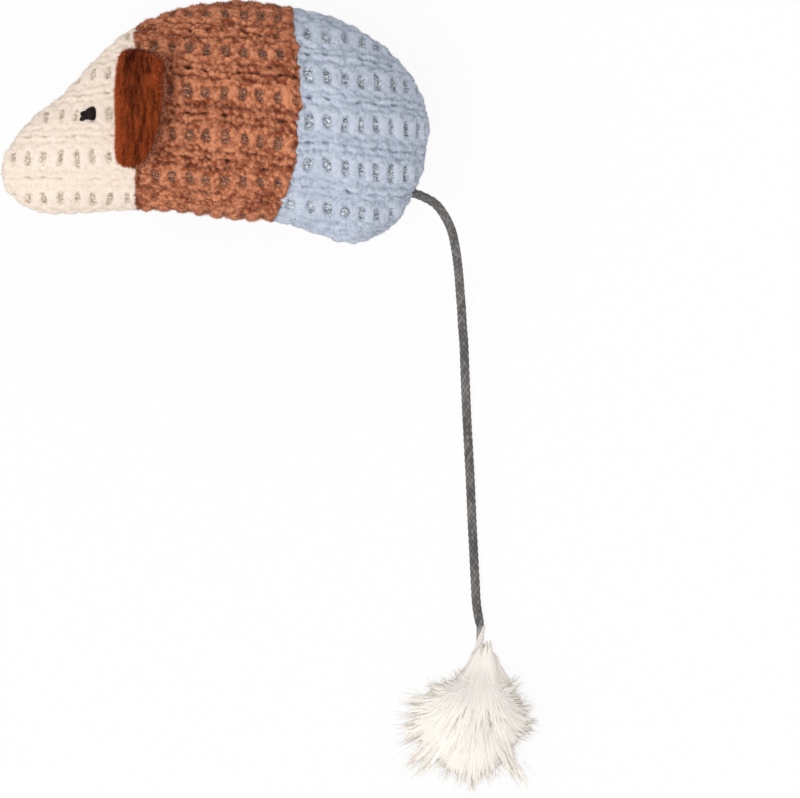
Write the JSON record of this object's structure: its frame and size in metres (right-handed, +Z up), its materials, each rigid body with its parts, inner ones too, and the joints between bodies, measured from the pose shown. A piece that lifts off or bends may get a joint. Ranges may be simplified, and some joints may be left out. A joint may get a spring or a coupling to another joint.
{
  "type": "catnip mouse",
  "caption": "Stuffed mouse of cream, brown and pale blue knit panels with velvet ears, stitched eyes and a cord tail ending in a fur tuft; a soft toy that a cat bats, carries and chews.",
  "frame": {"origin": "middle of the stuffed body's footprint on the floor", "axes": "+X from nose to rump, +Y from belly to back, +Z up off the floor that the right side lies on"},
  "size_m": [0.1178, 0.1755, 0.0478],
  "materials": {
    "cream_knit": "soft chenille knit",
    "brown_knit": "soft chenille knit",
    "blue_knit": "soft chenille knit",
    "seam_thread": "matte",
    "grey_cord": "fine braid",
    "sachet_cloth": "matte",
    "dried_leaf": "matte",
    "fibre_fill": "matte",
    "eye_thread": "satin stitch",
    "ear_velvet": "velvet",
    "ear_lining": "matte",
    "pale_fur": "long soft fur"
  },
  "bodies": {
    "body": {"head_panel_left": "cream_knit", "head_panel_right": "cream_knit", "middle_panel_left": "brown_knit", "middle_panel_right": "brown_knit", "rump_panel_left": "blue_knit", "rump_panel_right": "blue_knit", "neck_seam_thread_left": "seam_thread", "neck_seam_thread_right": "seam_thread", "rump_seam_thread_left": "seam_thread", "rump_seam_thread_right": "seam_thread", "outline_seam_thread": "seam_thread", "tail_root": "grey_cord", "tail_knot": "grey_cord", "sachet_cloth_front": "sachet_cloth", "sachet_cloth_rear": "sachet_cloth", "dried_catnip": "dried_leaf", "stuffing_front": "fibre_fill", "stuffing_rear": "fibre_fill", "left_eye": "eye_thread", "right_eye": "eye_thread"},
    "left_ear": {"left_ear_velvet": "ear_velvet", "left_ear_lining": "ear_lining"},
    "right_ear": {"right_ear_velvet": "ear_velvet", "right_ear_lining": "ear_lining"},
    "tail": {"tail_cord": "grey_cord"},
    "tuft": {"tuft_neck": "pale_fur", "tail_tuft": "pale_fur"}
  },
  "joints": [
    {"name": "left_ear_flap", "type": "hinge", "parent": "body", "child": "left_ear", "pos_m": [-0.01705, 0.00252, 0.04064], "axis": [0, -1, 0], "range_deg": [-10, 40], "stiffness_Nm_per_rad": 0.0004},
    {"name": "right_ear_flap", "type": "hinge", "parent": "body", "child": "right_ear", "pos_m": [-0.01705, 0.00252, 0.00196], "axis": [0, -1, 0], "range_deg": [0, 60], "stiffness_Nm_per_rad": 0.0004},
    {"name": "tail_swing", "type": "hinge", "parent": "body", "child": "tail", "pos_m": [0.04583, -0.01638, 0.0215], "axis": [0, 0, 1], "range_deg": [-60, 75]},
    {"name": "tuft_swing", "type": "hinge", "parent": "tail", "child": "tuft", "pos_m": [0.0588, -0.112, 0.00105], "axis": [0, 0, 1], "range_deg": [-60, 60]}
  ]
}
